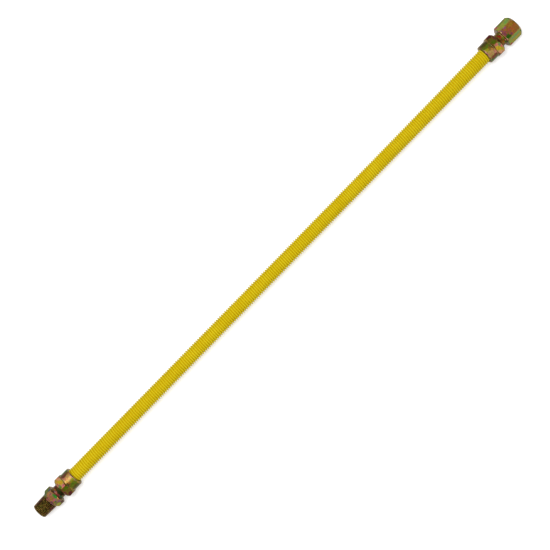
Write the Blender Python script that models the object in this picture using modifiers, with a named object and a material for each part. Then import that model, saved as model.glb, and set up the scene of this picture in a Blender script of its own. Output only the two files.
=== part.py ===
"""Corrugated stainless steel gas hose with a flare nut and a pipe adapter on each end.

The hose lies along X with its male pipe thread at -X and its female pipe socket at +X, on the plane Z = 0.
Each end is drawn once in a frame of its own: the origin on the hose's axis in the plane of the nut's rear face,
and +Z outwards, away from the hose.
"""

import math

import bmesh
import bpy
from mathutils import Matrix, Vector

MM = 0.001

# Hose
EXPOSED_LENGTH = 714.0 * MM  # between the rear faces of the two nuts
PITCH_TARGET = 2.938 * MM
CREST_RADIUS = 9.65 * MM
ROOT_RADIUS = 7.3 * MM
HOSE_BORE_RADIUS = 6.35 * MM
HIDDEN_TURNS = 1.5  # of the corrugation, inside each nut
CUFF_LENGTH = 2.4 * MM  # plain tube between the corrugation and the flare
HELIX_HAND = -1  # +1 right-hand, -1 left-hand
RIB_SIDES = 10
CUFF_SIDES = 2 * RIB_SIDES
FLARE_WALL = 0.6 * MM

# Flare nut
NUT_LENGTH = 22.8 * MM
NUT_HEX_LENGTH = 10.9 * MM
NUT_ACROSS_FLATS = 27.0 * MM
NUT_FACE_CHAMFER = 1.25 * MM  # read square to a flat, as on the adapters
NUT_COLLAR_STEP = 1.0 * MM  # of the collar below the flats
NUT_COLLAR_CHAMFER = 0.9 * MM
NUT_THREAD_RADIUS = 11.55 * MM
NUT_MOUTH_CHAMFER = 0.3 * MM

# Both adapters
ADAPTER_BORE_RADIUS = 6.35 * MM
NOSE_TIP_WALL = 0.8 * MM
FLARE_THREAD_CHAMFER = 0.85 * MM
FLARE_THREAD_RUNOUT = 1.0 * MM  # from the nut's front face to the end of the flare thread
NECK_RADIUS = 8.8 * MM

# Male pipe adapter
MALE_NECK_EXPOSED = 7.5 * MM
MALE_HEX_LENGTH = 10.8 * MM
MALE_ACROSS_FLATS = 23.0 * MM
MALE_INNER_CHAMFER = 0.3 * MM
MALE_OUTER_CHAMFER = 0.5 * MM
PIPE_THREAD_LENGTH = 20.7 * MM
PIPE_THREAD_RADIUS = 10.7 * MM  # at the large end, beside the hexagon
PIPE_TAPER = 1.0 / 32.0  # of the radius, along the axis
PIPE_THREAD_CHAMFER = 1.2 * MM

# Female pipe adapter
FEMALE_NECK_EXPOSED = 7.1 * MM
FEMALE_HEX_LENGTH = 22.8 * MM
FEMALE_ACROSS_FLATS = 25.4 * MM
FEMALE_INNER_CHAMFER = 0.3 * MM
FEMALE_OUTER_CHAMFER = 1.1 * MM
SOCKET_DEPTH = 16.0 * MM
SOCKET_MOUTH_RADIUS = 10.4 * MM
SOCKET_COUNTERSINK = 0.3 * MM

# Hexagons
INNER_CHAMFER_SLOPE = math.tan(math.radians(30.0))  # at the end nearer the hose
OUTER_CHAMFER_SLOPE = math.tan(math.radians(45.0))
HEX_CORNER_TRIM = 0.2 * MM  # turned off each sharp corner
FLAT_DOWN = 0.0  # turn about the axis that leaves a flat facing the ground
CORNER_DOWN = math.radians(30.0)

# Fits and fineness
SEAT_GAP = 0.3 * MM  # left square to each pair of seats that touch on the real hose
HOSE_IN_NUT_GAP = 0.3 * MM
THREAD_GAP = 0.3 * MM
FLARE_LIP_GAP = 0.65 * MM
FLAT_CUTTER_OVERRUN = 1.0 * MM
TURNED_STEPS = 36
SHARP_EDGE = math.radians(30.0)

# Sizes that follow
CONE_GAP = SEAT_GAP * math.sqrt(2.0)  # SEAT_GAP read along the axis, on a 45 degree cone
EXPOSED_TURNS = round(EXPOSED_LENGTH / PITCH_TARGET)
PITCH = EXPOSED_LENGTH / EXPOSED_TURNS
RIB_COUNT = round(EXPOSED_TURNS + 2.0 * HIDDEN_TURNS)
NUT_BORE_RADIUS = CREST_RADIUS + HOSE_IN_NUT_GAP
NUT_COLLAR_RADIUS = NUT_ACROSS_FLATS / 2.0 - NUT_COLLAR_STEP
FLARE_THREAD_RADIUS = NUT_THREAD_RADIUS - THREAD_GAP
FLARE_LIP_RADIUS = NUT_THREAD_RADIUS - FLARE_LIP_GAP
# Each 45 degree cone is held as its height at radius nought, from the nut's rear face
FLARE_BACK_CONE = HIDDEN_TURNS * PITCH + CUFF_LENGTH - ROOT_RADIUS
NUT_SHOULDER_CONE = FLARE_BACK_CONE - CONE_GAP
FLARE_FRONT_CONE = FLARE_BACK_CONE + FLARE_WALL * math.sqrt(2.0)
NOSE_CONE = FLARE_FRONT_CONE + CONE_GAP
MALE_END_LENGTH = NUT_LENGTH + MALE_NECK_EXPOSED + MALE_HEX_LENGTH + PIPE_THREAD_LENGTH
FEMALE_END_LENGTH = NUT_LENGTH + FEMALE_NECK_EXPOSED + FEMALE_HEX_LENGTH
TOTAL_LENGTH = MALE_END_LENGTH + EXPOSED_LENGTH + FEMALE_END_LENGTH
MALE_REAR_X = -TOTAL_LENGTH / 2.0 + MALE_END_LENGTH
FEMALE_REAR_X = MALE_REAR_X + EXPOSED_LENGTH


def corner_radius(across_flats):
    """Radius that a hexagon's corners are turned to."""
    return across_flats / math.sqrt(3.0) - HEX_CORNER_TRIM


AXIS_HEIGHT = max(
    corner_radius(FEMALE_ACROSS_FLATS),
    corner_radius(MALE_ACROSS_FLATS),
    NUT_ACROSS_FLATS / 2.0,
)

COATING = ("yellow_epoxy_coating", (0.78, 0.60, 0.02, 1.0), 0.35, 0.0)
PLATING = ("yellow_chromate_plating", (0.36, 0.25, 0.08, 1.0), 0.32, 1.0)


def clear_scene():
    """Remove every object that the file opened with."""
    for obj in list(bpy.data.objects):
        bpy.data.objects.remove(obj, do_unlink=True)


def new_collection(name, hidden=False):
    """Make a collection under the scene's own."""
    collection = bpy.data.collections.new(name)
    collection.hide_render = hidden
    bpy.context.scene.collection.children.link(collection)
    return collection


def finish_material(owner, finish):
    """Make one object's own Principled material from a finish."""
    name, colour, roughness, metallic = finish
    material = bpy.data.materials.new(f"{owner}_{name}")
    material.use_nodes = True
    shader = material.node_tree.nodes["Principled BSDF"]
    shader.inputs["Base Color"].default_value = colour
    shader.inputs["Roughness"].default_value = roughness
    shader.inputs["Metallic"].default_value = metallic
    material.diffuse_color = colour
    return material


def add_object(name, mesh, collection, parent=None):
    """Link a mesh as an object, on its parent's frame."""
    obj = bpy.data.objects.new(name, mesh)
    obj.parent = parent
    collection.objects.link(obj)
    return obj


def add_end_frame(name, rear_x, outward, collection):
    """Make the empty that carries one end: its +Z runs outwards from the nut's rear face."""
    empty = bpy.data.objects.new(name, None)
    empty.empty_display_size = NUT_LENGTH
    empty.location = Vector((rear_x, 0.0, AXIS_HEIGHT))
    empty.rotation_euler = (0.0, outward * math.pi / 2.0, 0.0)
    collection.objects.link(empty)
    return empty


def turned(name, profile, collection, parent):
    """Turn a closed (radius, height) profile round Z. It runs down the outer side and up the bore."""
    mesh = bpy.data.meshes.new(name)
    points = [(radius, 0.0, height) for radius, height in profile]
    edges = [(i, (i + 1) % len(points)) for i in range(len(points))]
    mesh.from_pydata(points, edges, [])
    obj = add_object(name, mesh, collection, parent)
    screw = obj.modifiers.new("turn", "SCREW")
    screw.steps = TURNED_STEPS
    screw.render_steps = TURNED_STEPS
    screw.use_merge_vertices = True
    screw.merge_threshold = 0.00001
    return obj


def prism(name, sides, radius, low, high, turn, collection, parent):
    """Make an upright prism with flat ends between two heights."""
    mesh = bpy.data.meshes.new(name)
    bm = bmesh.new()
    bmesh.ops.create_cone(
        bm,
        cap_ends=True,
        segments=sides,
        radius1=radius,
        radius2=radius,
        depth=high - low,
        matrix=Matrix.Translation((0.0, 0.0, (low + high) / 2.0)) @ Matrix.Rotation(turn, 4, "Z"),
    )
    bm.to_mesh(mesh)
    bm.free()
    obj = add_object(name, mesh, collection, parent)
    obj.hide_render = True
    obj.display_type = "WIRE"
    return obj


def subtract(obj, cutter, label):
    """Cut one object away from another."""
    cut = obj.modifiers.new(label, "BOOLEAN")
    cut.operation = "DIFFERENCE"
    cut.solver = "EXACT"
    cut.object = cutter


def mill_hexagon(obj, low, high, across_flats, turn, cutters):
    """Mill six wrench flats on a turned blank between two heights, with one flat's normal turned from +X."""
    low -= FLAT_CUTTER_OVERRUN
    high += FLAT_CUTTER_OVERRUN
    ring = prism(
        f"{obj.name}_flats", TURNED_STEPS, across_flats, low, high, 0.0, cutters, obj.parent
    )
    core = prism(
        f"{obj.name}_hexagon",
        6,
        across_flats / math.sqrt(3.0),
        low - FLAT_CUTTER_OVERRUN,
        high + FLAT_CUTTER_OVERRUN,
        turn,
        cutters,
        obj.parent,
    )
    subtract(ring, core, "hexagon_core")
    subtract(obj, ring, "wrench_flats")


def hexagon_band(across_flats, low, high, low_chamfer, high_chamfer):
    """The turned outline that a hexagon is milled from, top to bottom, with a chamfer at each end."""
    corner = corner_radius(across_flats)
    high_face = across_flats / 2.0 - high_chamfer
    low_face = across_flats / 2.0 - low_chamfer
    return [
        (high_face, high),
        (corner, high - (corner - high_face) * OUTER_CHAMFER_SLOPE),
        (corner, low + (corner - low_face) * INNER_CHAMFER_SLOPE),
        (low_face, low),
    ]


def nut_profile():
    """Flare nut: hexagon in front, plain collar behind, 45 degree shoulder and thread bore inside."""
    hex_rear = NUT_LENGTH - NUT_HEX_LENGTH
    return [
        *hexagon_band(NUT_ACROSS_FLATS, hex_rear, NUT_LENGTH, NUT_COLLAR_STEP, NUT_FACE_CHAMFER),
        (NUT_COLLAR_RADIUS, NUT_COLLAR_CHAMFER),
        (NUT_COLLAR_RADIUS - NUT_COLLAR_CHAMFER, 0.0),
        (NUT_BORE_RADIUS, 0.0),
        (NUT_BORE_RADIUS, NUT_SHOULDER_CONE + NUT_BORE_RADIUS),
        (NUT_THREAD_RADIUS, NUT_SHOULDER_CONE + NUT_THREAD_RADIUS),
        (NUT_THREAD_RADIUS, NUT_LENGTH - NUT_MOUTH_CHAMFER),
        (NUT_THREAD_RADIUS + NUT_MOUTH_CHAMFER, NUT_LENGTH),
    ]


def flare_profile(neck_top):
    """The inner end that both adapters share: neck, flare thread and 45 degree nose, top to bottom."""
    thread_top = NUT_LENGTH - FLARE_THREAD_RUNOUT
    tip_radius = ADAPTER_BORE_RADIUS + NOSE_TIP_WALL
    thread_start = NOSE_CONE + FLARE_THREAD_RADIUS
    return [
        (NECK_RADIUS, neck_top),
        (NECK_RADIUS, thread_top),
        (FLARE_THREAD_RADIUS - FLARE_THREAD_CHAMFER, thread_top),
        (FLARE_THREAD_RADIUS, thread_top - FLARE_THREAD_CHAMFER),
        (FLARE_THREAD_RADIUS, thread_start),
        (tip_radius, NOSE_CONE + tip_radius),
        (ADAPTER_BORE_RADIUS, NOSE_CONE + tip_radius),
    ]


def male_profile():
    """Male pipe adapter: tapered pipe thread, hexagon, then the shared flare end."""
    neck_top = NUT_LENGTH + MALE_NECK_EXPOSED
    hex_top = neck_top + MALE_HEX_LENGTH
    end_radius = PIPE_THREAD_RADIUS - PIPE_THREAD_LENGTH * PIPE_TAPER
    return [
        (end_radius - PIPE_THREAD_CHAMFER, MALE_END_LENGTH),
        (end_radius + PIPE_THREAD_CHAMFER * PIPE_TAPER, MALE_END_LENGTH - PIPE_THREAD_CHAMFER),
        (PIPE_THREAD_RADIUS, hex_top),
        *hexagon_band(MALE_ACROSS_FLATS, neck_top, hex_top, MALE_INNER_CHAMFER, MALE_OUTER_CHAMFER),
        *flare_profile(neck_top),
        (ADAPTER_BORE_RADIUS, MALE_END_LENGTH),
    ]


def female_profile():
    """Female pipe adapter: long hexagon over a tapered pipe socket, then the shared flare end."""
    neck_top = NUT_LENGTH + FEMALE_NECK_EXPOSED
    socket_bottom = FEMALE_END_LENGTH - SOCKET_DEPTH
    bottom_radius = SOCKET_MOUTH_RADIUS - SOCKET_DEPTH * PIPE_TAPER
    return [
        *hexagon_band(
            FEMALE_ACROSS_FLATS,
            neck_top,
            FEMALE_END_LENGTH,
            FEMALE_INNER_CHAMFER,
            FEMALE_OUTER_CHAMFER,
        ),
        *flare_profile(neck_top),
        (ADAPTER_BORE_RADIUS, socket_bottom),
        (bottom_radius, socket_bottom),
        (SOCKET_MOUTH_RADIUS, FEMALE_END_LENGTH - SOCKET_COUNTERSINK),
        (SOCKET_MOUTH_RADIUS + SOCKET_COUNTERSINK, FEMALE_END_LENGTH),
    ]


def ring(bm, x, radius):
    """Add one plain ring of the cuff or the bore."""
    made = []
    for i in range(CUFF_SIDES):
        angle = HELIX_HAND * math.tau * i / CUFF_SIDES
        point = (x, radius * math.cos(angle), AXIS_HEIGHT + radius * math.sin(angle))
        made.append(bm.verts.new(point))
    return made


def rib_radius(turns):
    """Crest radius at this many turns from the start: the rib rises in its first turn and dies in its last."""
    first = 0.5
    last = RIB_COUNT - 0.5 - 1.0 / RIB_SIDES
    rise = max(0.0, min(1.0, turns - first, last - turns))
    return ROOT_RADIUS + (CREST_RADIUS - ROOT_RADIUS) * rise


def helical_rows(bm, start_x):
    """Add the bellows' points: rows run along the helix, a root and a crest by turns."""
    rows = []
    for row in range(2 * RIB_COUNT - 1):
        made = []
        for side in range(RIB_SIDES):
            turns = row / 2.0 + side / RIB_SIDES
            angle = HELIX_HAND * math.tau * side / RIB_SIDES
            radius = rib_radius(turns) if row % 2 else ROOT_RADIUS
            x = start_x + turns * PITCH
            point = (x, radius * math.cos(angle), AXIS_HEIGHT + radius * math.sin(angle))
            made.append(bm.verts.new(point))
        rows.append(made)
    return rows


def skin_bellows(bm, rows):
    """Face the bellows. A row's last point meets the first point of the row two further on."""
    for row in range(len(rows) - 1):
        near, far = rows[row], rows[row + 1]
        for side in range(RIB_SIDES - 1):
            bm.faces.new((near[side], near[side + 1], far[side + 1], far[side]))
        if row + 3 < len(rows):
            bm.faces.new((near[-1], rows[row + 2][0], rows[row + 3][0], far[-1]))


def skin_rings(bm, first, second):
    """Face the band between two rings of as many points."""
    for i in range(CUFF_SIDES):
        j = (i + 1) % CUFF_SIDES
        bm.faces.new((first[i], first[j], second[j], second[i]))


def join_start(bm, cuff, rows):
    """Join a cuff's ring to the first row, where the helix leaves a step of two rows."""
    first = rows[0]
    for side in range(RIB_SIDES - 1):
        a, b, c = (cuff[2 * side + k] for k in range(3))
        bm.faces.new((a, b, c, first[side + 1], first[side]))
    bm.faces.new((cuff[-2], cuff[-1], cuff[0], first[0], rows[1][0], rows[2][0], first[-1]))


def join_end(bm, cuff, rows):
    """Join the last row to the other cuff's ring, in the same way."""
    last = rows[-1]
    for side in range(RIB_SIDES - 1):
        a, b, c = (cuff[2 * side + k] for k in range(3))
        bm.faces.new((last[side], last[side + 1], c, b, a))
    step = (rows[-3][-1], rows[-2][-1], last[-1])
    bm.faces.new((*step, cuff[-2], cuff[-1], cuff[0], last[0]))


def build_hose(collection):
    """One tube: a helical bellows that dies into a plain cuff and a 45 degree flare at each end."""
    bm = bmesh.new()
    start_x = MALE_REAR_X - HIDDEN_TURNS * PITCH
    rows = helical_rows(bm, start_x)
    ends = []
    for rear_x, outward in ((MALE_REAR_X, -1.0), (FEMALE_REAR_X, 1.0)):
        sections = (
            (ROOT_RADIUS, FLARE_BACK_CONE + ROOT_RADIUS),
            (FLARE_LIP_RADIUS, FLARE_BACK_CONE + FLARE_LIP_RADIUS),
            (FLARE_LIP_RADIUS, FLARE_FRONT_CONE + FLARE_LIP_RADIUS),
            (HOSE_BORE_RADIUS, FLARE_FRONT_CONE + HOSE_BORE_RADIUS),
        )
        cuff_x = rear_x + outward * (HIDDEN_TURNS * PITCH + CUFF_LENGTH / 4.0)
        rings = [ring(bm, cuff_x, ROOT_RADIUS)]
        rings += [ring(bm, rear_x + outward * height, radius) for radius, height in sections]
        for first, second in zip(rings, rings[1:]):
            skin_rings(bm, first, second)
        ends.append(rings)
    join_start(bm, ends[0][0], rows)
    skin_bellows(bm, rows)
    join_end(bm, ends[1][0], rows)
    skin_rings(bm, ends[0][-1], ends[1][-1])
    bmesh.ops.recalc_face_normals(bm, faces=bm.faces)
    mesh = bpy.data.meshes.new("corrugated_hose")
    bm.to_mesh(mesh)
    bm.free()
    obj = add_object("corrugated_hose", mesh, collection)
    shade_round(mesh)
    mesh.materials.append(finish_material(obj.name, COATING))
    return obj


def apply_modifiers(obj):
    """Give an object the mesh that its modifiers make of it."""
    bpy.context.view_layer.update()
    graph = bpy.context.evaluated_depsgraph_get()
    mesh = bpy.data.meshes.new_from_object(obj.evaluated_get(graph))
    obj.modifiers.clear()
    obj.data = mesh


def shade_round(mesh):
    """Shade a mesh smooth, but for its real edges."""
    mesh.shade_smooth()
    mesh.set_sharp_from_angle(angle=SHARP_EDGE)


def build_turned(name, profile, hexagon, frame, collection, cutters):
    """Build one turned fitting with its wrench flats."""
    obj = turned(name, profile, collection, frame)
    mill_hexagon(obj, *hexagon, cutters)
    apply_modifiers(obj)
    shade_round(obj.data)
    obj.data.materials.append(finish_material(name, PLATING))
    return obj


def main():
    clear_scene()
    parts = new_collection("corrugated_gas_hose")
    cutters = new_collection("cutters", hidden=True)
    build_hose(parts)
    male_frame = add_end_frame("male_end_frame", MALE_REAR_X, -1.0, parts)
    female_frame = add_end_frame("female_end_frame", FEMALE_REAR_X, 1.0, parts)
    nut_hexagon = (
        NUT_LENGTH - NUT_HEX_LENGTH,
        NUT_LENGTH,
        NUT_ACROSS_FLATS,
        FLAT_DOWN,
    )
    for name, frame in (("male_end_flare_nut", male_frame), ("female_end_flare_nut", female_frame)):
        build_turned(name, nut_profile(), nut_hexagon, frame, parts, cutters)
    male_neck_top = NUT_LENGTH + MALE_NECK_EXPOSED
    male_hexagon = (
        male_neck_top,
        male_neck_top + MALE_HEX_LENGTH,
        MALE_ACROSS_FLATS,
        CORNER_DOWN,
    )
    build_turned("male_pipe_adapter", male_profile(), male_hexagon, male_frame, parts, cutters)
    female_hexagon = (
        NUT_LENGTH + FEMALE_NECK_EXPOSED,
        FEMALE_END_LENGTH,
        FEMALE_ACROSS_FLATS,
        CORNER_DOWN,
    )
    build_turned(
        "female_pipe_adapter", female_profile(), female_hexagon, female_frame, parts, cutters
    )


main()
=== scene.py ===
"""Corrugated gas hose with a flare nut and a pipe adapter on each end: its looks, on the frame.

The hose lies along X, with its male pipe thread at -X. Each end is drawn in stations, which are
distances outwards from the plane of its nut's rear face, and in angles round the hose's axis from
+Y towards +Z.
"""

import logging
import math
from dataclasses import dataclass, field, replace
from enum import Enum

import bmesh
import bpy
import numpy as np
from mathutils import Matrix, Vector


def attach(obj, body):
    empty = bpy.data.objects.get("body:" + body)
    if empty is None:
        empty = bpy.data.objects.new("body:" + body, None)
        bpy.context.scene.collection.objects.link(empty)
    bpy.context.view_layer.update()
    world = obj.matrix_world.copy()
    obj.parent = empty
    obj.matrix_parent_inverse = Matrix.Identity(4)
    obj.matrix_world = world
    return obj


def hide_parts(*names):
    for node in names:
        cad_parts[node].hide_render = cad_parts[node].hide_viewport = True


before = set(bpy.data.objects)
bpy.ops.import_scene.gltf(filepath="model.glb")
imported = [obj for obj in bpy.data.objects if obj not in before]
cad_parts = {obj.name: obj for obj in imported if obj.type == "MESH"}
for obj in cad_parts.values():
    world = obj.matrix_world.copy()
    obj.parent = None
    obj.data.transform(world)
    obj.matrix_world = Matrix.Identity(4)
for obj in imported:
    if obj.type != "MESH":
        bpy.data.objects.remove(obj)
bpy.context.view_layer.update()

log = logging.getLogger("gas_hose")

MM = 0.001
INCH = 25.4 * MM
AXIS_HEIGHT = 14.4647 * MM
PITCH = 714.0 * MM / 243.0  # of the hose's corrugation
HIDDEN_LENGTH = 1.5 * PITCH  # of corrugation inside each nut
HOSE_CREST = 9.65 * MM
HOSE_ROOT = 7.3 * MM
ADAPTER_BORE = 6.35 * MM
PIPE_TAPER = 1.0 / 32.0  # how much a pipe thread's radius shrinks along it
ON_CREST = 0.25  # what thread_root says on a thread's crest, where a plain wall has 0 and a root 1
# Each 45 degree cone is held as its station at radius nought
FLARE_BACK_CONE = -0.4926 * MM
FLARE_FRONT_CONE = 0.3559 * MM
SHOULDER_CONE = -0.9169 * MM
NOSE_CONE = 0.7802 * MM


class End(Enum):
    """The two ends of the hose: X of the nut's rear face, and which way is outwards."""

    MALE = (-352.45 * MM, -1.0)
    FEMALE = (361.55 * MM, 1.0)

    def x(self, station: float) -> float:
        """X of a station of this end."""
        rear, outward = self.value
        return rear + outward * station


class Form(Enum):
    """How a row of a fitting is made: only turned, milled to the hexagon, or cut with a thread."""

    TURNED = "turned"
    MILLED = "milled"
    THREADED = "threaded"


def srgb(code: str) -> tuple[float, float, float, float]:
    """Turn an sRGB hex colour to linear.

    Args:
        code: six hex digits after a hash.

    Returns:
        Linear red, green and blue, with an alpha of 1.
    """
    values = [int(code[i : i + 2], 16) / 255.0 for i in (1, 3, 5)]
    linear = [v / 12.92 if v <= 0.04045 else ((v + 0.055) / 1.055) ** 2.4 for v in values]
    return (*linear, 1.0)


def add_node(
    tree: bpy.types.NodeTree, kind: str, links: dict | None = None, **settings: object
) -> bpy.types.Node:
    """Add one shader node with its settings, its socket values and its links.

    Args:
        tree: the node tree that takes it.
        kind: Blender's name for the kind of node, without its ShaderNode prefix.
        links: for each input, by name or number, a value or the output socket that feeds it.
        settings: the node's own properties.

    Returns:
        The new node.
    """
    node = tree.nodes.new(f"ShaderNode{kind}")
    for name, value in settings.items():
        setattr(node, name, value)
    for name, value in (links or {}).items():
        if isinstance(value, bpy.types.NodeSocket):
            tree.links.new(value, node.inputs[name])
        else:
            node.inputs[name].default_value = value
    return node


def new_material(name: str) -> tuple[bpy.types.Material, bpy.types.NodeTree, bpy.types.Node]:
    """Make a material that holds only a Principled shader.

    Args:
        name: the material's name.

    Returns:
        The material, its node tree and its shader node.
    """
    material = bpy.data.materials.new(name)
    material.use_nodes = True
    tree = material.node_tree
    return material, tree, tree.nodes["Principled BSDF"]


def fill_ramp(node: bpy.types.Node, stops: list[tuple[float, str]]) -> None:
    """Fill a colour ramp.

    Args:
        node: the ramp node.
        stops: position and hex colour of each stop, from low to high.
    """
    elements = node.color_ramp.elements
    while len(elements) < len(stops):
        elements.new(0.5)
    for element, (position, code) in zip(elements, stops):
        element.position = position
        element.color = srgb(code)


@dataclass(frozen=True)
class EpoxyCoating:
    """Yellow epoxy powder coating on stainless steel: satin, with painted shade in the grooves and
    a painted highlight on the crests.

    Its shade is cloudy and its surface has an orange peel, coarser than real so that it shows.
    """

    name: str = "yellow_epoxy_coating"
    # Painted shade and highlight: the groove colour is darker than the crest's, and the lightest
    # one tops the crests
    crest: str = "#E2CC0C"
    groove: str = "#D9BA04"
    wear_and_highlight: str = "#EEDC26"
    roughness: float = 0.5
    gloss: float = 0.08
    cloud: float = 20.0 * MM
    peel: float = 1.25 * MM
    crest_radius: float = HOSE_CREST
    root_radius: float = HOSE_ROOT

    def material(self) -> bpy.types.Material:
        """Build the coating's material.

        Returns:
            The material.
        """
        material, tree, shader = new_material(self.name)
        place = add_node(tree, "TexCoord").outputs["Object"]
        # Height on the rib, from 0 in the root to 1 on the crest, which paints the grooves darker
        # and the crests lighter: painted shade and painted highlight
        centred = {0: place, 1: (0.0, 1.0, 1.0), 2: (0.0, 0.0, -AXIS_HEIGHT)}
        across = add_node(tree, "VectorMath", centred, operation="MULTIPLY_ADD")
        radius = add_node(tree, "VectorMath", {0: across.outputs[0]}, operation="LENGTH")
        limits = {"From Min": self.root_radius, "From Max": self.crest_radius}
        rib = add_node(tree, "MapRange", {"Value": radius.outputs["Value"], **limits})
        cloud = add_node(
            tree, "TexNoise", {"Vector": place, "Scale": 1.0 / self.cloud, "Detail": 3.0}
        )
        clouded = {0: cloud.outputs["Fac"], 1: 0.5, 2: rib.outputs[0]}
        height = add_node(tree, "Math", clouded, operation="MULTIPLY_ADD")
        shade = add_node(tree, "Math", {0: height.outputs[0], 1: 0.25}, operation="SUBTRACT")
        tint = add_node(tree, "ValToRGB", {"Fac": shade.outputs[0]})
        fill_ramp(tint, [(0.05, self.groove), (0.72, self.crest), (1.0, self.wear_and_highlight)])
        tree.links.new(tint.outputs["Color"], shader.inputs["Base Color"])
        shader.inputs["Specular IOR Level"].default_value = self.gloss
        peel = add_node(
            tree, "TexNoise", {"Vector": place, "Scale": 1.0 / self.peel, "Detail": 2.0}
        )
        spread = {"To Min": self.roughness - 0.08, "To Max": self.roughness + 0.1}
        gloss = add_node(tree, "MapRange", {"Value": peel.outputs["Fac"], **spread})
        tree.links.new(gloss.outputs[0], shader.inputs["Roughness"])
        raised = {"Height": peel.outputs["Fac"], "Strength": 0.25, "Distance": 0.1 * MM}
        bump = add_node(tree, "Bump", raised)
        tree.links.new(bump.outputs[0], shader.inputs["Normal"])
        return material


@dataclass(frozen=True)
class Patch:
    """One cloud of another colour on the chromate: mostly an interference colour, in places a
    painted highlight or painted shadow.

    It is centred at a station and an angle, has half sizes in mm along, round and into the fitting,
    and may lean and be kept to the wrench flat that faces one angle.
    """

    station: float
    degrees: float
    length: float
    width: float
    colour: str
    flat: float | None = None
    lean: float = 0.0
    amount: float = 1.0
    depth: float = 6.0

    def mirrored(self, about: float) -> "Patch":
        """The same patch on the other side of an angle."""
        flat = None if self.flat is None else 2.0 * about - self.flat
        return replace(self, degrees=2.0 * about - self.degrees, flat=flat, lean=-self.lean)

    def frame(self, end: End, radius: float) -> tuple[Vector, tuple[float, float, float]]:
        """Where the patch is and how its long axis is turned.

        Args:
            end: the end that the fitting is on.
            radius: how far from the axis the patch is centred.

        Returns:
            Its centre, and its turn as Euler angles.
        """
        angle = math.radians(self.degrees)
        outwards = Vector((0.0, math.cos(angle), math.sin(angle)))
        centre = Vector((end.x(self.station * MM), 0.0, AXIS_HEIGHT)) + outwards * radius
        lean = math.radians(self.lean) * end.value[1]
        turn = Matrix.Rotation(angle, 3, "X") @ Matrix.Rotation(-lean, 3, "Y")
        return centre, tuple(turn.to_euler("XYZ"))


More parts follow.
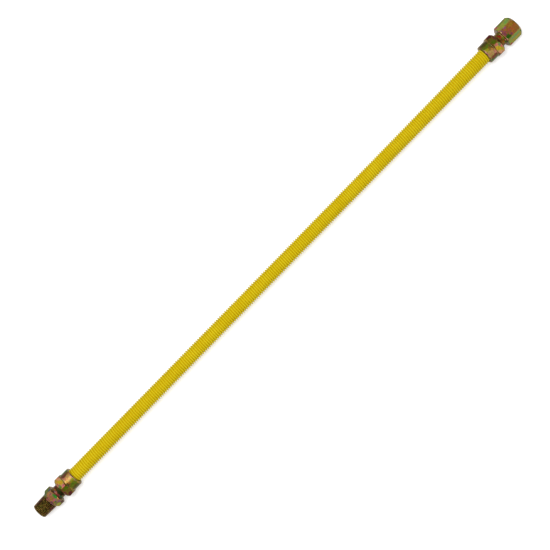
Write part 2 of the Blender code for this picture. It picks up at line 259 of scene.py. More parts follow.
@dataclass(frozen=True)
class YellowChromate:
    """Yellow chromate on zinc plated, turned steel: a thin iridescent film of gold, pink and green.

    The film drains and dries in clouds, whose edges wander. It is mottled in hue and in depth more
    finely. The grain and the turning marks are coarser than real, so that they show.
    """

    name: str
    deep: str = "#54401E"
    ground: str = "#75592A"
    light: str = "#94753A"
    edge: str = "#B8985A"
    # Painted shade: the thread's roots are darkened towards this near black
    root: str = "#171208"
    edge_share: float = 0.45
    root_shade_share: float = 0.85
    roughness: float = 0.36
    cloud: float = 4.7619 * MM
    swirl: float = 3.0303 * MM
    wander: float = 6.0 * MM
    mottle: float = 2.381 * MM
    depth: float = 1.5625 * MM
    grain: float = 1.1111 * MM
    turning: float = 0.5 * MM
    patches: tuple[Patch, ...] = ()

    def material(self, end: End, radius: float) -> bpy.types.Material:
        """Build the chromate for one fitting.

        Args:
            end: the end that the fitting is on.
            radius: how far from the axis its patches are centred.

        Returns:
            The material.
        """
        material, tree, shader = new_material(self.name)
        coordinates = add_node(tree, "TexCoord").outputs
        place, normal = coordinates["Object"], coordinates["Normal"]
        swirl = add_node(
            tree, "TexNoise", {"Vector": place, "Scale": 1.0 / self.swirl, "Detail": 3.0}
        )
        centred = {0: swirl.outputs["Color"], 1: (0.5, 0.5, 0.5)}
        drift = add_node(tree, "VectorMath", centred, operation="SUBTRACT")
        moved = {0: drift.outputs[0], 1: (self.wander,) * 3, 2: place}
        bent = add_node(tree, "VectorMath", moved, operation="MULTIPLY_ADD").outputs[0]
        cloud = add_node(
            tree, "TexNoise", {"Vector": bent, "Scale": 1.0 / self.cloud, "Detail": 2.0}
        )
        tint = add_node(tree, "ValToRGB", {"Fac": cloud.outputs["Fac"]})
        fill_ramp(tint, [(0.35, self.deep), (0.5, self.ground), (0.65, self.light)])
        colour = tint.outputs["Color"]
        for patch in self.patches:
            colour = self.laid_over(tree, colour, (bent, normal), patch, end, radius)
        colour = self.mottled(tree, colour, place)
        wear_and_highlight = self.attribute_mix(tree, colour, "edge_wear", self.edge, self.edge_share)
        torn = self.burred(tree, wear_and_highlight, place)
        # Painted shade in the thread's roots
        rooted = self.attribute_mix(tree, torn, "thread_root", self.root, self.root_shade_share)
        tree.links.new(rooted, shader.inputs["Base Color"])
        shader.inputs["Metallic"].default_value = 1.0
        grain = add_node(
            tree, "TexNoise", {"Vector": place, "Scale": 1.0 / self.grain, "Detail": 3.0}
        )
        spread = {"To Min": self.roughness - 0.08, "To Max": self.roughness + 0.12}
        shown = {"Value": grain.outputs["Fac"], "From Min": 0.3, "From Max": 0.7}
        gloss = add_node(tree, "MapRange", {**shown, **spread})
        tree.links.new(gloss.outputs[0], shader.inputs["Roughness"])
        # A wave texture has 20 bands in tau of its own units
        marks = add_node(
            tree,
            "TexWave",
            {"Vector": place, "Scale": math.tau / (20.0 * self.turning), "Distortion": 0.6},
            bands_direction="X",
        )
        both = {0: grain.outputs["Fac"], 1: 1.5, 2: marks.outputs["Fac"]}
        relief = add_node(tree, "Math", both, operation="MULTIPLY_ADD")
        raised = {"Height": relief.outputs[0], "Strength": 0.3, "Distance": 0.04 * MM}
        bump = add_node(tree, "Bump", raised)
        tree.links.new(bump.outputs[0], shader.inputs["Normal"])
        return material

    def mottled(
        self, tree: bpy.types.NodeTree, colour: bpy.types.NodeSocket, place: bpy.types.NodeSocket
    ) -> bpy.types.NodeSocket:
        """Vary the film: rosy where it is thin, green where it is thick, uneven in brightness.

        Args:
            tree: the material's node tree.
            colour: the colour of the film.
            place: the place on the fitting.

        Returns:
            The mottled colour.
        """
        film = add_node(
            tree, "TexNoise", {"Vector": place, "Scale": 1.0 / self.mottle, "Detail": 3.0}
        )
        hue = add_node(tree, "ValToRGB", {"Fac": film.outputs["Fac"]})
        fill_ramp(hue, [(0.36, "#F6CABE"), (0.5, "#E8E0D0"), (0.64, "#CCF0B4")])
        tinted = {"Factor": 1.0, "A": colour, "B": hue.outputs["Color"]}
        turned = add_node(tree, "Mix", tinted, data_type="RGBA", blend_type="MULTIPLY")
        depth = add_node(
            tree, "TexNoise", {"Vector": place, "Scale": 1.0 / self.depth, "Detail": 2.0}
        )
        spread = {"From Min": 0.3, "From Max": 0.7, "To Min": 0.85, "To Max": 1.3}
        level = add_node(tree, "MapRange", {"Value": depth.outputs["Fac"], **spread})
        brightened = {0: turned.outputs["Result"], "Scale": level.outputs[0]}
        scaled = add_node(tree, "VectorMath", brightened, operation="SCALE")
        return scaled.outputs[0]

    def burred(
        self, tree: bpy.types.NodeTree, colour: bpy.types.NodeSocket, place: bpy.types.NodeSocket
    ) -> bpy.types.NodeSocket:
        """Speckle the thread's torn crests with the grain.

        Args:
            tree: the material's node tree.
            colour: the colour of the film.
            place: the place on the fitting.

        Returns:
            The colour, speckled on the thread only.
        """
        burr = add_node(
            tree, "TexNoise", {"Vector": place, "Scale": 1.0 / self.grain, "Detail": 1.0}
        )
        spread = {"From Min": 0.4, "From Max": 0.6, "To Min": 0.25, "To Max": 2.3}
        level = add_node(tree, "MapRange", {"Value": burr.outputs["Fac"], **spread})
        value = add_node(tree, "Attribute", attribute_name="thread_root").outputs["Fac"]
        cut = add_node(tree, "MapRange", {"Value": value, "From Max": ON_CREST, "To Min": 1.0})
        tree.links.new(level.outputs[0], cut.inputs["To Max"])
        scaled = add_node(
            tree, "VectorMath", {0: colour, "Scale": cut.outputs[0]}, operation="SCALE"
        )
        return scaled.outputs[0]

    def attribute_mix(
        self,
        tree: bpy.types.NodeTree,
        colour: bpy.types.NodeSocket,
        attribute: str,
        other: str,
        most: float,
    ) -> bpy.types.NodeSocket:
        """Mix towards another colour where an attribute of the mesh says so.

        Args:
            tree: the material's node tree.
            colour: the colour so far.
            attribute: the attribute, from 0 to 1.
            other: hex of the other colour.
            most: how much of it there is where the attribute is 1.

        Returns:
            The mixed colour.
        """
        value = add_node(tree, "Attribute", attribute_name=attribute).outputs["Fac"]
        share = add_node(
            tree, "MapRange", {"Value": value, "From Min": ON_CREST, "To Max": most}
        )
        sides = {"Factor": share.outputs[0], "A": colour, "B": srgb(other)}
        mixed = add_node(tree, "Mix", sides, data_type="RGBA")
        return mixed.outputs["Result"]

    def laid_over(
        self,
        tree: bpy.types.NodeTree,
        colour: bpy.types.NodeSocket,
        surface: tuple[bpy.types.NodeSocket, bpy.types.NodeSocket],
        patch: Patch,
        end: End,
        radius: float,
    ) -> bpy.types.NodeSocket:
        """Lay one patch over the colour so far.

        Args:
            tree: the material's node tree.
            colour: the colour under the patch.
            surface: the wandering place that the patch's edge follows, and the surface's normal.
            patch: the patch.
            end: the end that the fitting is on.
            radius: how far from the axis it is centred.

        Returns:
            The colour with the patch on it.
        """
        place, normal = surface
        centre, turn = patch.frame(end, radius)
        size = [s * MM for s in (patch.length, patch.depth, patch.width)]
        held = {"Vector": place, "Location": centre, "Rotation": turn, "Scale": size}
        scaled = add_node(tree, "Mapping", held, vector_type="TEXTURE")
        far = add_node(tree, "VectorMath", {0: scaled.outputs[0]}, operation="LENGTH")
        edge = {"From Min": 0.55, "From Max": 1.25, "To Min": patch.amount, "To Max": 0.0}
        fade = {"Value": far.outputs["Value"], **edge}
        share = add_node(tree, "MapRange", fade, interpolation_type="SMOOTHSTEP").outputs[0]
        if patch.flat is not None:
            facing = math.radians(patch.flat)
            towards = (0.0, math.cos(facing), math.sin(facing))
            turned = add_node(tree, "VectorMath", {0: normal, 1: towards}, operation="DOT_PRODUCT")
            limits = {"Value": turned.outputs["Value"], "From Min": 0.8, "From Max": 0.92}
            on_flat = add_node(tree, "MapRange", limits)
            both = add_node(tree, "Math", {0: share, 1: on_flat.outputs[0]}, operation="MULTIPLY")
            share = both.outputs[0]
        sides = {"Factor": share, "A": colour, "B": srgb(patch.colour)}
        mixed = add_node(tree, "Mix", sides, data_type="RGBA")
        return mixed.outputs["Result"]


@dataclass(frozen=True)
class Row:
    """One ring of a fitting's surface: its station, its radius, its form and how worn it is."""

    station: float
    radius: float
    form: Form = Form.TURNED
    wear_and_highlight: float = 0.0

    def towards(self, other: "Row", share: float) -> "Row":
        """The row that is a share of the way to another."""
        return Row(
            self.station + (other.station - self.station) * share,
            self.radius + (other.radius - self.radius) * share,
            self.form,
        )

    def distance(self, other: "Row") -> float:
        """How far it is to another row, along the section."""
        return math.hypot(other.station - self.station, other.radius - self.radius)


@dataclass(frozen=True)
class Hexagon:
    """Wrench flats: the width across them, one corner's turn from +Y, and how sharp they are."""

    across_flats: float
    corner_turn: float
    trim: float = 0.2 * MM
    blend: float = 0.12 * MM

    @property
    def corner_radius(self) -> float:
        """Radius that the corners are turned to."""
        return self.across_flats / math.sqrt(3.0) - self.trim

    def mill(self, radius: float, angles: np.ndarray) -> tuple[np.ndarray, np.ndarray]:
        """Cut the flats from a turned ring, with an edge that is softly rounded.

        Args:
            radius: the ring's turned radius.
            angles: angle of each of its points.

        Returns:
            The radius at each point, and how near the edge of a flat it is, from 0 to 1.
        """
        sixth = math.pi / 3.0
        local = (angles - self.corner_turn) % sixth - sixth / 2.0
        flat = self.across_flats / 2.0 / np.cos(local)
        share = np.clip(0.5 + (flat - radius) / (2.0 * self.blend), 0.0, 1.0)
        radii = flat * (1.0 - share) + radius * share - self.blend * share * (1.0 - share)
        return radii, 1.0 - np.abs(2.0 * share - 1.0)

    def band(self, low: float, high: float, low_face: float, high_face: float) -> list[Row]:
        """Rows of the blank that the flats are milled on, from its outer end to its inner end.

        Args:
            low: station of its inner end.
            high: station of its outer end.
            low_face: radius of its inner face.
            high_face: radius of its outer face.

        Returns:
            The four rows, with a 45 degree chamfer outside and a 30 degree one inside.
        """
        corner = self.corner_radius
        return [
            Row(high, high_face, Form.MILLED),
            Row(high - (corner - high_face), corner, Form.MILLED),
            Row(low + (corner - low_face) * math.tan(math.pi / 6.0), corner, Form.MILLED),
            Row(low, low_face, Form.MILLED),
        ]


@dataclass(frozen=True)
class Thread:
    """A right-hand thread: its stations, its crests' radii there, and its fades at both ends."""

    pitch: float
    depth: float
    start: float
    end: float
    start_radius: float
    end_radius: float
    start_fade: float
    end_fade: float
    in_bore: bool = False

    def walls(self, x: float, row: Row, angles: np.ndarray) -> tuple[np.ndarray, np.ndarray]:
        """Radius at each point of a ring, never outside its row, or never inside it in a bore.

        Args:
            x: the ring's place along the hose.
            row: the ring's row.
            angles: angle of each of its points.

        Returns:
            The radii, and how deep in the thread each point is, from ON_CREST to 1 in a root.
        """
        share = (row.station - self.start) / (self.end - self.start)
        crest = self.start_radius + (self.end_radius - self.start_radius) * share
        fade = min(
            1.0,
            (row.station - self.start) / self.start_fade,
            (self.end - row.station) / self.end_fade,
        )
        turn = (x / self.pitch - angles / math.tau) % 1.0
        # Straight flanks between a narrow flat crest and a narrow flat root
        groove = np.clip(0.5 + 1.25 * (0.5 - np.abs(2.0 * turn - 1.0)), 0.0, 1.0)
        deep = max(0.0, fade) * groove
        shown = ON_CREST + (1.0 - ON_CREST) * deep
        if self.in_bore:
            return np.maximum(row.radius, crest + self.depth * deep), shown
        return np.minimum(row.radius, crest - self.depth * deep), shown


def ring_angles() -> np.ndarray:
    """Angles of a ring's points, from a hexagon's corner and closer together beside each corner.

    Returns:
        The angles, over one whole turn.
    """
    half = (0.0, 0.5, 1.1, 1.8, 2.8, 4.5, 7.0, 10.5, 14.5, 18.5, 22.5, 26.5)
    flat = [*half, 30.0, *(60.0 - a for a in reversed(half[1:]))]
    return np.radians([60.0 * side + a for side in range(6) for a in flat])


def rounded(before: Row, at: Row, after: Row, size: float) -> list[Row]:
    """Round one corner of a section with four rows.

    Args:
        before: the row before the corner.
        at: the corner.
        after: the row after it.
        size: how far back along each side the rounding starts.

    Returns:
        The rows that stand for the corner.
    """
    first, last = (
        at.towards(other, min(size / at.distance(other), 0.4)) for other in (before, after)
    )
    rows = []
    for t, wear_and_highlight in ((0.0, 0.0), (1 / 3, 1.0), (2 / 3, 1.0), (1.0, 0.0)):
        blend = first.towards(at, t).towards(at.towards(last, t), t)
        rows.append(replace(blend, wear_and_highlight=wear_and_highlight))
    return rows


def mesh_object(name: str, points: np.ndarray, faces: list[tuple[int, ...]]) -> bpy.types.Object:
    """Make a smooth shaded object from points and faces.

    Args:
        name: the object's name.
        points: one row of X, Y and Z for each point.
        faces: the point numbers of each face.

    Returns:
        The object, linked to the scene.
    """
    mesh = bpy.data.meshes.new(name)
    mesh.from_pydata(points.tolist(), [], faces)
    mesh.shade_smooth()
    obj = bpy.data.objects.new(name, mesh)
    bpy.context.scene.collection.objects.link(obj)
    return obj


@dataclass
class Fitting:
    """A turned fitting with a bore: a section swept round the axis, then milled and threaded."""

    end: End
    name: str
    node: str
    body: str
    slot: str
    finish: YellowChromate
    hexagon: Hexagon
    threads: list[Thread] = field(default_factory=list)
    edge: float = 0.22 * MM
    milled_gap: float = 0.3 * MM
    threaded_gap: float = 0.15 * MM
    support: float = 0.12 * MM

    def section(self) -> list[Row]:
        """Rows of the section's corners, in along the outside and back through the bore."""
        raise NotImplementedError

    def rows(self) -> list[Row]:
        """Round the section's corners, and divide what is between them where it needs it.

        Returns:
            Every row of the fitting.
        """
        corners = self.section()
        count = len(corners)
        groups = [
            rounded(corners[i - 1], row, corners[(i + 1) % count], self.edge)
            for i, row in enumerate(corners)
        ]
        made: list[Row] = []
        for i, group in enumerate(groups):
            made += group
            last, following = group[-1], groups[(i + 1) % count][0]
            span = last.distance(following)
            same = last.form is following.form
            if same and last.form is not Form.TURNED:
                gap = self.milled_gap if last.form is Form.MILLED else self.threaded_gap
                pieces = max(1, round(span / gap))
                made += [last.towards(following, k / pieces) for k in range(1, pieces)]
            elif span > 4.0 * self.support:
                share = self.support / span
                made += [last.towards(following, t) for t in (share, 1.0 - share)]
        return made

    def ring(self, row: Row, angles: np.ndarray) -> tuple[np.ndarray, np.ndarray, np.ndarray]:
        """Radius, wear and depth in the thread at each point of one row.

        Args:
            row: the row.
            angles: angle of each point.

        Returns:
            The radii, the wear from 0 to 1, and the depth: 0 off the thread, ON_CREST to 1 on it.
        """
        radii = np.full(len(angles), row.radius)
        wear_and_highlight = np.full(len(angles), row.wear_and_highlight)
        deep = np.zeros(len(angles))
        if row.form is Form.MILLED:
            radii, near = self.hexagon.mill(row.radius, angles)
            turned = radii > row.radius - self.hexagon.blend
            wear_and_highlight = np.maximum(near, row.wear_and_highlight * turned)
        if row.form is Form.THREADED:
            for thread in self.threads:
                if thread.start <= row.station <= thread.end:
                    radii, deep = thread.walls(self.end.x(row.station), row, angles)
        return radii, wear_and_highlight, deep

    def build(self) -> bpy.types.Object:
        """Make the fitting, dress it and set it on its body in place of its node.

        Returns:
            The fitting's object.
        """
        angles = ring_angles() + self.hexagon.corner_turn
        rows = self.rows()
        points, wear, roots = [], [], []
        for row in rows:
            radii, wear_and_highlight, deep = self.ring(row, angles)
            x = np.full(len(angles), self.end.x(row.station))
            ring = (x, radii * np.cos(angles), AXIS_HEIGHT + radii * np.sin(angles))
            points.append(np.stack(ring, 1))
            wear.append(wear_and_highlight)
            roots.append(deep)
        count = len(angles)
        faces = []
        for i in range(len(rows)):
            near, far = i * count, (i + 1) % len(rows) * count
            for j in range(count):
                k = (j + 1) % count
                face = (near + j, far + j, far + k, near + k)
                faces.append(face if self.end is End.FEMALE else face[::-1])
        obj = mesh_object(self.name, np.concatenate(points), faces)
        for attribute, values in (("edge_wear", wear), ("thread_root", roots)):
            layer = obj.data.attributes.new(attribute, "FLOAT", "POINT")
            layer.data.foreach_set("value", np.concatenate(values).astype(np.float32))
        obj.data.materials.append(self.finish.material(self.end, self.hexagon.across_flats / 2.0))
        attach(obj, self.body)
        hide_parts(self.node)
        return obj


@dataclass
class FlareNut(Fitting):
    """Flare nut: a hexagon in front, a collar behind, a 45 degree shoulder and thread inside."""

    length: float = 22.8 * MM
    hexagon_length: float = 10.9 * MM
    face_radius: float = 12.25 * MM
    collar_radius: float = 12.5 * MM
    collar_chamfer: float = 0.9 * MM
    hose_bore: float = 9.95 * MM
    thread_radius: float = 11.55 * MM
    mouth_chamfer: float = 0.3 * MM

    def section(self) -> list[Row]:
        """Draw the nut's section.

        Returns:
            Rows of its corners.
        """
        shoulder = SHOULDER_CONE + self.thread_radius
        thread = Thread(
            pitch=INCH / 16.0,
            depth=0.75 * MM,
            start=shoulder,
            end=self.length,
            start_radius=self.thread_radius,
            end_radius=self.thread_radius,
            start_fade=1.6 * MM,
            end_fade=1.6 * MM,
            in_bore=True,
        )
        self.threads = [thread]
        low = self.length - self.hexagon_length
        return [
            *self.hexagon.band(low, self.length, self.collar_radius, self.face_radius),
            Row(self.collar_chamfer, self.collar_radius),
            Row(0.0, self.collar_radius - self.collar_chamfer),
            Row(0.0, self.hose_bore),
            Row(SHOULDER_CONE + self.hose_bore, self.hose_bore),
            Row(shoulder, self.thread_radius, Form.THREADED),
            Row(self.length - self.mouth_chamfer, self.thread_radius, Form.THREADED),
            Row(self.length, self.thread_radius + self.mouth_chamfer),
        ]


@dataclass
class Adapter(Fitting):
    """What both adapters share: the neck, the 16 flare thread, the 45 degree nose and the bore."""

    neck_radius: float = 8.8 * MM
    thread_top: float = 21.8 * MM
    thread_radius: float = 11.25 * MM
    thread_chamfer: float = 0.85 * MM
    tip_radius: float = 7.15 * MM
    inner_step: float = 0.3 * MM  # from the flats in to the hexagon's inner face

    def flare_end(self, neck_top: float) -> list[Row]:
        """Rows of the inner end, from the hexagon in.

        Args:
            neck_top: station of the hexagon's inner face.

        Returns:
            The rows, down to the bore's inner edge.
        """
        start = NOSE_CONE + self.thread_radius
        thread = Thread(
            pitch=INCH / 16.0,
            depth=0.9 * MM,
            start=start,
            end=self.thread_top,
            start_radius=self.thread_radius,
            end_radius=self.thread_radius,
            start_fade=0.8 * MM,
            end_fade=1.6 * MM,
        )
        self.threads.append(thread)
        chamfered = self.thread_top - self.thread_chamfer
        return [
            Row(neck_top, self.neck_radius),
            Row(self.thread_top, self.neck_radius),
            Row(self.thread_top, self.thread_radius - self.thread_chamfer),
            Row(chamfered, self.thread_radius, Form.THREADED),
            Row(start, self.thread_radius, Form.THREADED),
            Row(NOSE_CONE + self.tip_radius, self.tip_radius),
            Row(NOSE_CONE + self.tip_radius, ADAPTER_BORE),
        ]


@dataclass
class MaleAdapter(Adapter):
    """Male pipe adapter: a short hexagon and a tapered 14 pipe thread with a short run-out."""

    neck_top: float = 30.3 * MM
    hexagon_top: float = 41.1 * MM
    length: float = 61.8 * MM
    pipe_radius: float = 10.7 * MM
    pipe_chamfer: float = 1.2 * MM
    run_out: float = 0.5 * MM
    outer_step: float = 0.5 * MM  # from the flats in to the hexagon's outer face

    def section(self) -> list[Row]:
        """Draw the adapter's section.

        Returns:
            Rows of its corners.
        """
        half = self.hexagon.across_flats / 2.0
        end_radius = self.pipe_radius - (self.length - self.hexagon_top) * PIPE_TAPER
        start = self.hexagon_top + self.run_out
        start_radius = self.pipe_radius - self.run_out * PIPE_TAPER
        thread = Thread(
            pitch=INCH / 14.0,
            depth=1.15 * MM,
            start=start,
            end=self.length,
            start_radius=start_radius,
            end_radius=end_radius,
            start_fade=1.2 * MM,
            end_fade=0.01 * MM,
        )
        self.threads = [thread]
        faces = half - self.inner_step, half - self.outer_step
        return [
            Row(self.length, end_radius - self.pipe_chamfer, Form.THREADED),
            Row(self.length - self.pipe_chamfer, end_radius, Form.THREADED),
            Row(start, start_radius, Form.THREADED),
            Row(self.hexagon_top, self.pipe_radius),
            *self.hexagon.band(self.neck_top, self.hexagon_top, *faces),
            *self.flare_end(self.neck_top),
            Row(self.length, ADAPTER_BORE),
        ]


@dataclass
class FemaleAdapter(Adapter):
    """Female pipe adapter: a long hexagon over a tapered 14 pipe socket."""

    neck_top: float = 29.9 * MM
    length: float = 52.7 * MM
    socket_bottom: float = 36.7 * MM
    bottom_radius: float = 9.9 * MM
    mouth_radius: float = 10.4 * MM
    countersink: float = 0.3 * MM
    outer_step: float = 1.1 * MM  # from the flats in to the hexagon's outer face

    def section(self) -> list[Row]:
        """Draw the adapter's section.

        Returns:
            Rows of its corners.
        """
        half = self.hexagon.across_flats / 2.0
        thread = Thread(
            pitch=INCH / 14.0,
            depth=1.0 * MM,
            start=self.socket_bottom,
            end=self.length,
            start_radius=self.bottom_radius,
            end_radius=self.mouth_radius,
            start_fade=3.0 * MM,
            end_fade=1.4 * MM,
            in_bore=True,
        )
        self.threads = [thread]
        faces = half - self.inner_step, half - self.outer_step
        return [
            *self.hexagon.band(self.neck_top, self.length, *faces),
            *self.flare_end(self.neck_top),
            Row(self.socket_bottom, ADAPTER_BORE),
            Row(self.socket_bottom, self.bottom_radius, Form.THREADED),
            Row(self.length - self.countersink, self.mouth_radius, Form.THREADED),
            Row(self.length, self.mouth_radius + self.countersink),
        ]


@dataclass
class Hose:
    """One thin tube: a left-hand helical bellows that dies into a cuff and a flare at each end."""

    coating: EpoxyCoating = field(default_factory=EpoxyCoating)
    root: float = HOSE_ROOT
    crest: float = HOSE_CREST
    bore: float = 6.35 * MM
    lip: float = 10.9 * MM
    narrowing: float = 0.75  # below 1, the crests are broader than the roots
    plain_turns: float = 0.4  # at each end, before the rib rises
    weld: float = 0.0001 * MM
    sides: int = 48
    rows_a_turn: int = 8
    path_steps: int = 60

    def rib(self, phase: np.ndarray) -> np.ndarray:
        """Height of the rib from 0 to 1, by phase in turns."""
        return (0.5 - 0.5 * np.cos(math.tau * phase)) ** self.narrowing

    def bellows(self) -> np.ndarray:
        """Draw the bellows in rows that follow the helix and are squeezed flat at the two ends.

        Returns:
            The points' X, Y and Z, by row and by place in the row.
        """
        start = End.MALE.x(HIDDEN_LENGTH)
        turns = round((End.FEMALE.x(HIDDEN_LENGTH) - start) / PITCH)
        phases = np.arange(-self.rows_a_turn, turns * self.rows_a_turn + 1) / self.rows_a_turn
        share = np.arange(self.sides) / self.sides
        along = phases[:, None] + share[None, :]
        from_start, from_end = along - self.plain_turns, turns - self.plain_turns - along
        rise = np.clip(np.minimum(from_start, from_end), 0.0, 1.0)
        height = self.rib(phases)[:, None] * rise
        radius = self.root + (self.crest - self.root) * height
        angle = -math.tau * share[None, :]
        x = start + np.clip(along, 0.0, turns) * PITCH
        return np.stack((x, radius * np.cos(angle), AXIS_HEIGHT + radius * np.sin(angle)), 2)

    def cuff(self, end: End) -> list[np.ndarray]:
        """Rings from the cuff over the flare's lip and into the bore.

        Args:
            end: which end.

        Returns:
            The rings' points, from the cuff on.
        """
        sections = (
            (FLARE_BACK_CONE + self.root, self.root),
            (FLARE_BACK_CONE + self.lip, self.lip),
            (FLARE_FRONT_CONE + self.lip, self.lip),
            (FLARE_FRONT_CONE + self.bore, self.bore),
        )
        angle = -math.tau * np.arange(self.sides) / self.sides
        return [
            np.stack(
                (
                    np.full(self.sides, end.x(station)),
                    radius * np.cos(angle),
                    AXIS_HEIGHT + radius * np.sin(angle),
                ),
                1,
            )
            for station, radius in sections
        ]

    def build(self) -> bpy.types.Object:
        """Returns:
            The hose's object.
        """
        grid = self.bellows()
        count, rows = self.sides, len(grid)
        rings = [*reversed(self.cuff(End.MALE)), *grid, *self.cuff(End.FEMALE)]
        first, last = len(self.cuff(End.MALE)), len(self.cuff(End.MALE)) + rows - 1
        faces = []
        for i in range(len(rings)):
            following = (i + 1) % len(rings)
            helical = first <= i < last
            for j in range(count - helical):
                k = (j + 1) % count
                face = (i * count + j, following * count + j, following * count + k, i * count + k)
                faces.append(face)
            skip = self.rows_a_turn
            if helical and i + skip < last:
                near, far = i * count, following * count
                step = skip * count
                faces.append((near + count - 1, far + count - 1, far + step, near + step))
        obj = mesh_object("hose_bellows", np.concatenate(rings), faces)
        whole = bmesh.new()
        whole.from_mesh(obj.data)
        bmesh.ops.remove_doubles(whole, verts=whole.verts, dist=self.weld)
        bmesh.ops.recalc_face_normals(whole, faces=whole.faces)
        whole.to_mesh(obj.data)
        whole.free()
        obj.data.materials.append(self.coating.material())
        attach(obj, "hose")
        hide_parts("corrugated_hose")
        start, stop = (end.x(FLARE_FRONT_CONE + self.lip) for end in (End.MALE, End.FEMALE))
        End.MALE.x(0.0)
        return obj


@dataclass
class Studio:
    """The pale floor, the plain soft light and the camera, which is held in the photo's pixels."""

    pixel: float = 1.2173 * MM  # at the hose
    aim: tuple[float, float] = (-6.25, 3.39)  # pixels from the part's middle, along and across
    roll: tuple[float, float] = (0.69835, 0.71576)
    elevation: float = math.radians(60.0)
    focal_pixels: float = 1250.0
    frame_pixels: float = 550.0
    sensor: float = 36.0
    far_clip: float = 50.0
    floor_size: float = 12.0
    floor_glow: float = 0.56
    room_light: float = 0.52
    key_place: tuple[float, float, float] = (-0.2, -0.4, 2.0)
    key_size: float = 1.0
    key_watts: float = 20.0

    def floor(self) -> None:
        """Lay the floor: it looks white to the camera and keeps the shadow."""
        half = self.floor_size / 2.0
        corners = np.array([(x, y, 0.0) for x, y in ((-1, -1), (1, -1), (1, 1), (-1, 1))]) * half
        obj = mesh_object("floor", corners, [(0, 1, 2, 3)])
        material = bpy.data.materials.new("studio_floor")
        material.use_nodes = True
        tree = material.node_tree
        tree.nodes.clear()
        seen = self.seen_ray(tree)
        paint = add_node(tree, "BsdfDiffuse", {"Color": srgb("#E6E6E6")})
        glow = add_node(tree, "Math", {0: seen, 1: self.floor_glow}, operation="MULTIPLY")
        white = (1.0, 1.0, 1.0, 1.0)
        lift = add_node(tree, "Emission", {"Color": white, "Strength": glow.outputs[0]})
        both = add_node(tree, "AddShader", {0: paint.outputs[0], 1: lift.outputs[0]})
        add_node(tree, "OutputMaterial", {"Surface": both.outputs[0]})
        obj.data.materials.append(material)

    def seen_ray(self, tree: bpy.types.NodeTree) -> bpy.types.NodeSocket:
        """Tell a ray that is seen, straight or in a mirror or glass, from one that lights.

        Args:
            tree: the node tree that asks.

        Returns:
            One where the ray is seen, and nought elsewhere.
        """
        rays = add_node(tree, "LightPath")
        two = {0: rays.outputs["Is Camera Ray"], 1: rays.outputs["Is Glossy Ray"]}
        both = add_node(tree, "Math", two, operation="MAXIMUM")
        three = {0: both.outputs[0], 1: rays.outputs["Is Transmission Ray"]}
        seen = add_node(tree, "Math", three, operation="MAXIMUM")
        return seen.outputs[0]

    def room(self) -> None:
        """Light the room evenly, and leave it white where it is seen."""
        world = bpy.data.worlds.new("room")
        world.use_nodes = True
        tree = world.node_tree
        lit = {"Value": self.seen_ray(tree), "To Min": self.room_light, "To Max": 1.0}
        level = add_node(tree, "MapRange", lit)
        background = tree.nodes["Background"]
        background.inputs["Color"].default_value = (1.0, 1.0, 1.0, 1.0)
        tree.links.new(level.outputs[0], background.inputs["Strength"])
        bpy.context.scene.world = world

    def lamp(self) -> None:
        """Hang one square soft lamp that faces the hose's middle."""
        data = bpy.data.lights.new("key_lamp", "AREA")
        data.size = self.key_size
        data.energy = self.key_watts
        obj = bpy.data.objects.new("key_lamp", data)
        obj.location = self.key_place
        obj.rotation_euler = (-Vector(self.key_place)).to_track_quat("-Z", "Y").to_euler()
        bpy.context.scene.collection.objects.link(obj)

    def camera(self) -> None:
        """Set the camera over the hose, rolled so that the hose crosses the frame's diagonal."""
        back = Vector((0.0, -math.cos(self.elevation), math.sin(self.elevation)))
        along = Vector((1.0, 0.0, 0.0))
        across = along.cross(back)
        right = self.roll[0] * along + self.roll[1] * across
        up = self.roll[1] * along - self.roll[0] * across
        aim = Vector((self.aim[0] * self.pixel, 0.0, AXIS_HEIGHT))
        aim += across * self.aim[1] * self.pixel
        data = bpy.data.cameras.new("camera")
        data.sensor_width = self.sensor
        data.lens = self.focal_pixels / self.frame_pixels * data.sensor_width
        data.clip_end = self.far_clip
        obj = bpy.data.objects.new("camera", data)
        pose = Matrix((right, up, back)).transposed().to_4x4()
        pose.translation = aim + back * self.focal_pixels * self.pixel
        obj.matrix_world = pose
        bpy.context.scene.collection.objects.link(obj)
        bpy.context.scene.camera = obj

    def build(self) -> None:
        """Set up the camera, the floor and the light."""
        self.camera()
        self.floor()
        self.room()
        self.lamp()
        bpy.context.scene.view_settings.view_transform = "Standard"


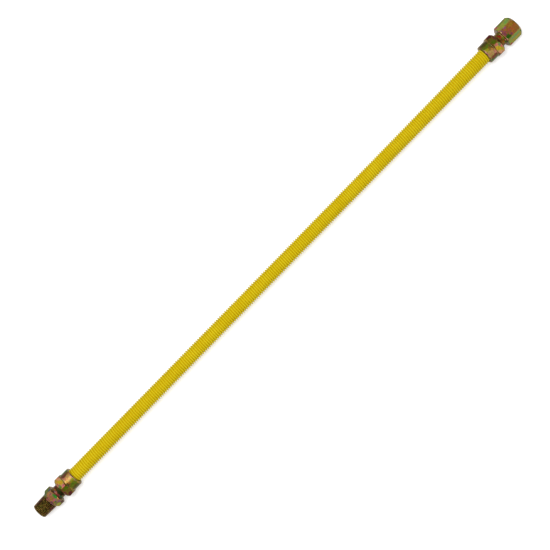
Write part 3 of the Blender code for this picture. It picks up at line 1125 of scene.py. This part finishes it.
NUT_PATCHES = (
    # The flat that faces 90 degrees: tan and pink, a gold band across it, green at its front
    # corner; its tan ground is partly painted light, lighter than the flat that faces 150 degrees
    Patch(17.0, 90, 8.0, 9.0, "#C4907A", 90),
    Patch(16.0, 91, 6.8, 3.0, "#BAA02C", 90, lean=-52),
    Patch(19.5, 73, 2.4, 2.6, "#B89440", 90),
    Patch(20.0, 93, 1.3, 2.4, "#BC6068", 90),
    Patch(18.8, 106, 2.0, 1.9, "#6C7E60", 90),
    Patch(19.4, 117, 1.9, 2.2, "#55862A", 90),
    Patch(14.4, 118, 2.4, 1.9, "#BE5C78", 90),
    # The flat that faces 150 degrees: dark olive, maroon in front and at its far corner; its dark
    # olive ground is partly painted shade
    Patch(17.0, 150, 8.0, 9.0, "#645824", 150),
    Patch(15.3, 133, 4.5, 2.2, "#4C6410", 150),
    Patch(21.3, 146, 1.6, 6.0, "#5E3032", 150),
    Patch(17.5, 173, 4.5, 2.8, "#55282C", 150),
    # Painted shadow: dark spots where the flats meet the collar
    Patch(11.6, 136, 1.1, 2.2, "#2E4A3A", 150),
    Patch(11.0, 120, 0.8, 1.3, "#1E2012"),
    # The collar: tan and pink in the middle, maroon and green above, olive below
    Patch(5.6, 102, 6.5, 4.4, "#AE8E5E"),
    Patch(9.1, 92, 1.4, 2.6, "#B87C74"),
    Patch(9.2, 113, 0.8, 2.8, "#B08E3A"),
    # Yellow-green: partly a chromate tint, partly a painted highlight of the maker's embossed
    # marks, which are not drawn
    Patch(3.6, 130, 3.6, 2.2, "#8A8C26"),
    Patch(5.4, 150, 6.5, 3.6, "#5C6E20"),
    Patch(6.4, 177, 6.5, 4.5, "#4A4618"),
    Patch(7.6, 72, 5.0, 3.2, "#6E3E34"),
    Patch(6.5, 52, 7.0, 2.8, "#44560E"),
    Patch(1.6, 60, 1.6, 3.0, "#2A5A20"),
    # Painted shadow on the rear face and its chamfer, and a painted pink highlight along the rear
    # edge
    Patch(-0.4, 118, 0.9, 14.0, "#33264A"),
    Patch(0.9, 114, 0.5, 8.0, "#B0808A", amount=0.8),
)

MALE_PATCHES = (
    # The pipe thread: dark olive brown, with teal, rose and purple where it meets the hexagon
    Patch(52.0, 120, 11.5, 22.0, "#7E6A38"),
    Patch(61.0, 120, 1.6, 14.0, "#5A4A20"),
    Patch(46.0, 174, 4.5, 3.0, "#6A3438"),
    Patch(50.0, 62, 9.0, 3.4, "#5C3426"),
    Patch(41.8, 120, 1.2, 5.0, "#30322A"),
    Patch(41.5, 144, 1.2, 3.0, "#5C2C56"),
    Patch(41.6, 96, 1.3, 2.2, "#7A3C50"),
    Patch(41.4, 80, 1.3, 1.8, "#5C6410"),
    Patch(41.4, 58, 1.6, 3.0, "#24503E"),
    # The flat that faces 120 degrees
    Patch(36.0, 120, 6.5, 8.0, "#805646", 120),
    Patch(39.8, 102, 1.5, 2.2, "#8C485A", 120),
    Patch(34.6, 92, 2.6, 2.0, "#7E4A5C", 120),
    Patch(37.4, 118, 1.6, 3.4, "#745C2A", 120),
    Patch(35.2, 141, 2.8, 2.2, "#845062", 120),
    Patch(40.2, 142, 1.1, 2.4, "#542C5E", 120),
    Patch(38.2, 149, 1.6, 1.3, "#62662A", 120),
    Patch(36.3, 153, 1.7, 1.2, "#2E5448", 120),
    Patch(32.2, 122, 1.6, 4.8, "#2E6E2C", 120),
    # A painted gold highlight on the flat's inner edge
    Patch(30.6, 143, 0.9, 1.6, "#F0B878"),
    # The flats on both sides of it
    Patch(36.0, 60, 7.0, 8.0, "#556414", 60),
    Patch(35.6, 82, 4.2, 2.4, "#9A6A34", 60),
    Patch(32.8, 64, 2.0, 2.4, "#40305E", 60),
    Patch(30.2, 88, 1.0, 2.0, "#9A6478", 60),
    Patch(40.2, 64, 1.4, 2.4, "#30543C", 60),
    Patch(36.0, 180, 7.0, 8.0, "#62521E", 180),
    Patch(37.6, 186, 2.8, 4.0, "#868A08", 180),
    Patch(32.8, 161, 2.2, 2.8, "#6C3C66", 180),
    Patch(32.3, 195, 1.8, 3.0, "#4A2020", 180),
    Patch(29.8, 184, 1.0, 4.0, "#2A4034", 180),
    # The neck, maroon and rosy beside the hexagon; its dark ground and its darkest spots are
    # painted shadow
    Patch(25.6, 120, 4.0, 16.0, "#2E281A"),
    Patch(24.8, 118, 2.2, 3.0, "#1C3018"),
    Patch(25.4, 70, 2.4, 3.6, "#582A26"),
    Patch(25.0, 162, 2.6, 4.0, "#1C1A0C"),
    Patch(29.4, 120, 1.7, 16.0, "#7C4444"),
    Patch(29.3, 134, 1.1, 2.6, "#8C3040"),
    Patch(29.8, 92, 1.0, 1.8, "#7A6A86"),
    Patch(27.4, 88, 1.2, 1.6, "#B06C1E"),
    Patch(28.6, 160, 1.4, 2.0, "#22583C"),
)

FEMALE_PATCHES = (
    # The flat that faces 120 degrees: copper, rosy towards the neck, with one green cloud
    Patch(40.0, 120, 13.0, 9.0, "#8C5A2E", 120),
    Patch(31.8, 95, 1.6, 2.0, "#7A5068", 120),
    Patch(37.8, 93, 2.4, 1.6, "#84506C", 120),
    Patch(31.6, 107, 1.4, 2.2, "#7C405A", 120),
    Patch(34.6, 107, 1.8, 1.8, "#7C4454", 120),
    Patch(32.8, 122, 2.2, 2.2, "#7C3E52", 120),
    Patch(38.6, 122, 3.2, 2.4, "#8A5040", 120),
    Patch(43.0, 113, 2.6, 1.6, "#8E5636", 120),
    Patch(46.0, 102, 4.0, 2.2, "#8C6A24", 120),
    Patch(50.0, 106, 1.8, 2.6, "#8A5A20", 120),
    Patch(33.8, 141, 4.4, 3.4, "#2A5416", 120),
    Patch(38.6, 143, 1.8, 1.8, "#6E3E50", 120),
    Patch(44.5, 150, 6.5, 1.1, "#8C4444", 120),
    Patch(52.2, 120, 0.9, 9.0, "#6A3420"),
    # The flats on both sides of it
    Patch(41.0, 60, 14.0, 9.0, "#8A9608", 60),
    Patch(46.0, 67, 4.5, 3.4, "#649436", 60),
    Patch(35.0, 56, 3.0, 2.6, "#8E8A08", 60),
    Patch(41.0, 38, 12.0, 2.4, "#66740C", 60),
    Patch(33.0, 42, 2.6, 2.6, "#A04458", 60),
    Patch(51.2, 66, 1.4, 5.0, "#3E5E14", 60),
    Patch(41.0, 180, 14.0, 9.0, "#80881C", 180),
    Patch(42.0, 167, 9.0, 2.6, "#5E8646", 180),
    Patch(41.5, 190, 9.0, 2.4, "#90801E", 180),
    Patch(33.0, 204, 2.4, 2.4, "#8C4034", 180),
    Patch(51.4, 180, 1.4, 5.0, "#3A5C1C", 180),
    # Painted highlights where the inner chamfer cuts the corners, and the colours of the hexagon's
    # inner face
    Patch(30.0, 120, 0.7, 18.0, "#8A7250"),
    Patch(29.9, 60, 0.8, 4.0, "#5C6040", amount=0.8),
    Patch(29.9, 180, 0.8, 4.0, "#2E5448", amount=0.8),
    Patch(30.4, 150, 0.9, 2.0, "#F8A8B0"),
    Patch(30.4, 91, 0.8, 2.4, "#E4AC8C"),
    # The neck: dark red and orange, with green and a yellow line beside the hexagon
    Patch(26.2, 120, 4.0, 16.0, "#6A4620"),
    Patch(26.6, 66, 2.6, 2.6, "#667008"),
    Patch(27.3, 99, 1.9, 3.2, "#8C1620"),
    Patch(26.6, 148, 2.2, 2.6, "#985014"),
    Patch(29.2, 130, 0.8, 2.4, "#82961C"),
    Patch(28.6, 162, 1.6, 3.0, "#2C701C"),
    Patch(29.4, 80, 0.8, 2.4, "#74861C"),
    # A painted shadow on the neck beside the nut's face
    Patch(23.6, 120, 0.9, 14.0, "#2C2616"),
)


def main() -> None:
    """Build the studio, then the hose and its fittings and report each."""
    logging.basicConfig(level=logging.INFO, format="%(name)s: %(message)s")
    Studio().build()
    camera_side, flat_down, corner_down = 120.0, math.radians(0.0), math.radians(30.0)
    turned_over = tuple(patch.mirrored(camera_side) for patch in NUT_PATCHES)
    nut = Hexagon(27.0 * MM, flat_down)
    small = Hexagon(23.0 * MM, corner_down)
    large = Hexagon(25.4 * MM, corner_down)
    parts: list[Hose | Fitting] = [Hose()]
    for kind, end, body, node, patches, hexagon in (
        (FlareNut, End.MALE, "male_nut", "male_end_flare_nut", NUT_PATCHES, nut),
        (FlareNut, End.FEMALE, "female_nut", "female_end_flare_nut", turned_over, nut),
        (MaleAdapter, End.MALE, "male_adapter", "male_pipe_adapter", MALE_PATCHES, small),
        (FemaleAdapter, End.FEMALE, "female_adapter", "female_pipe_adapter", FEMALE_PATCHES, large),
    ):
        slot = "chromated_nut" if kind is FlareNut else "chromated_adapter"
        finish = YellowChromate(f"{body}_chromate", patches=patches)
        parts.append(kind(end, f"{body}_turned", node, body, slot, finish, hexagon))
    for part in parts:
        piece = part.build()
        log.info("%s: %d faces", piece.name, len(piece.data.polygons))


if __name__ == "__main__":
    main()
